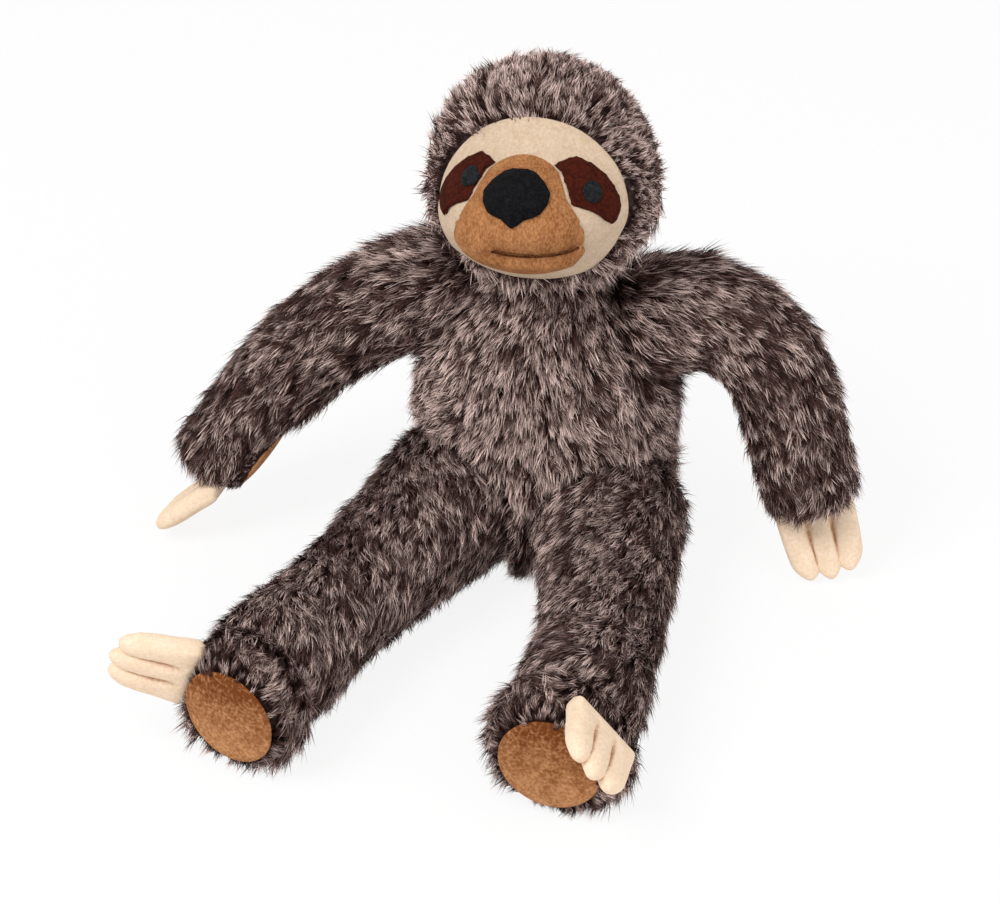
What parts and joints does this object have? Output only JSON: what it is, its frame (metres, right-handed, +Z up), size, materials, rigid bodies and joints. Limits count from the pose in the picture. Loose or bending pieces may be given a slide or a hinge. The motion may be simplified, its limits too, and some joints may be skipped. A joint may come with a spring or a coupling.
{
  "type": "plush sloth",
  "caption": "Seated plush sloth with shaggy fur, a sewn face of short-nap cloth, palm and sole pads, and padded claws that fold at their seams.",
  "frame": {"origin": "middle of the flat seat, on the floor under the torso", "axes": "front along -Y, the sloth's own left along +X, up along +Z"},
  "size_m": [0.2653, 0.235, 0.195],
  "materials": {
    "fur": "shaggy frosted pile",
    "cream": "short nap",
    "tan": "short nap",
    "chestnut": "short nap",
    "black_thread": "embroidered",
    "brown_thread": "stitched",
    "stuffing": "fibre"
  },
  "bodies": {
    "torso": {"torso_skin": "fur", "torso_filling": "stuffing"},
    "head": {"head_skin": "fur", "head_filling": "stuffing", "face_panel": "cream", "muzzle": "tan", "eye_patch_left": "chestnut", "eye_patch_right": "chestnut", "eye_left": "black_thread", "eye_right": "black_thread", "nose": "black_thread", "mouth_stitch": "brown_thread"},
    "arm_left": {"arm_skin_left": "fur", "arm_filling_left": "stuffing", "palm_pad_left": "tan"},
    "arm_right": {"arm_skin_right": "fur", "arm_filling_right": "stuffing", "palm_pad_right": "tan"},
    "leg_left": {"leg_skin_left": "fur", "leg_filling_left": "stuffing", "sole_pad_left": "tan"},
    "leg_right": {"leg_skin_right": "fur", "leg_filling_right": "stuffing", "sole_pad_right": "tan"},
    "claws_hand_left": {"hand_claws_left": "cream"},
    "claws_hand_right": {"hand_claws_right": "cream"},
    "claws_foot_left": {"foot_claws_left": "cream"},
    "claws_foot_right": {"foot_claws_right": "cream"}
  },
  "joints": [
    {"name": "neck_nod", "type": "hinge", "parent": "torso", "child": "head", "pos_m": [0, 0.014, 0.112], "axis": [1, 0, 0], "range_deg": [-15, 15]},
    {"name": "shoulder_left", "type": "hinge", "parent": "torso", "child": "arm_left", "pos_m": [0.04117, 0.01238, 0.099], "axis": [-1, 0, 0], "range_deg": [-40, 120]},
    {"name": "shoulder_right", "type": "hinge", "parent": "torso", "child": "arm_right", "pos_m": [-0.04117, 0.01238, 0.099], "axis": [-1, 0, 0], "range_deg": [-40, 120]},
    {"name": "hip_left", "type": "hinge", "parent": "torso", "child": "leg_left", "pos_m": [0.031, -0.016, 0.0269], "axis": [-1, 0, 0], "range_deg": [-65, 12]},
    {"name": "hip_right", "type": "hinge", "parent": "torso", "child": "leg_right", "pos_m": [-0.031, -0.016, 0.0269], "axis": [-1, 0, 0], "range_deg": [-65, 12]},
    {"name": "hand_seam_left", "type": "hinge", "parent": "arm_left", "child": "claws_hand_left", "pos_m": [0.10252, 0.0101, 0.02448], "axis": [0.9099, 0.3509, 0.2212], "range_deg": [-25, 85]},
    {"name": "hand_seam_right", "type": "hinge", "parent": "arm_right", "child": "claws_hand_right", "pos_m": [-0.12231, -0.02102, 0.01927], "axis": [0.0853, -0.9436, 0.3198], "range_deg": [-30, 85]},
    {"name": "foot_seam_left", "type": "hinge", "parent": "leg_left", "child": "claws_foot_left", "pos_m": [0.05625, -0.15509, 0.03877], "axis": [0.6651, -0.018, -0.7466], "range_deg": [-97, 3]},
    {"name": "foot_seam_right", "type": "hinge", "parent": "leg_right", "child": "claws_foot_right", "pos_m": [-0.09261, -0.14972, 0.03325], "axis": [0.3569, -0.1294, 0.9252], "range_deg": [-55, 50]}
  ]
}
